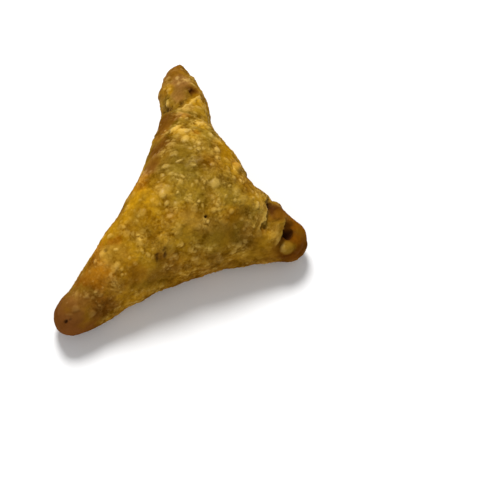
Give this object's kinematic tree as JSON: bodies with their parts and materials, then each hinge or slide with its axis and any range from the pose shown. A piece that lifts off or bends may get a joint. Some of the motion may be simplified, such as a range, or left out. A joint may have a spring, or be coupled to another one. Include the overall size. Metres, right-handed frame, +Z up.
{
  "type": "samosa",
  "caption": "Whole fried samosa, a plump triangular filled pastry lying on its broad side, with a rounded apex and two folded ears at the ends of a pinched seam.",
  "frame": {"origin": "under the middle of the bounding box, on the surface that the samosa lies on", "axes": "+X from the pastry cone's apex to its pinched seam, +Y along the seam towards the larger ear, +Z up"},
  "size_m": [0.1048, 0.0884, 0.0371],
  "materials": {
    "crust": "fried dough crust, golden and blistered, with a slight oil sheen"
  },
  "bodies": {
    "root": {"samosa": "crust"}
  },
  "joints": []
}
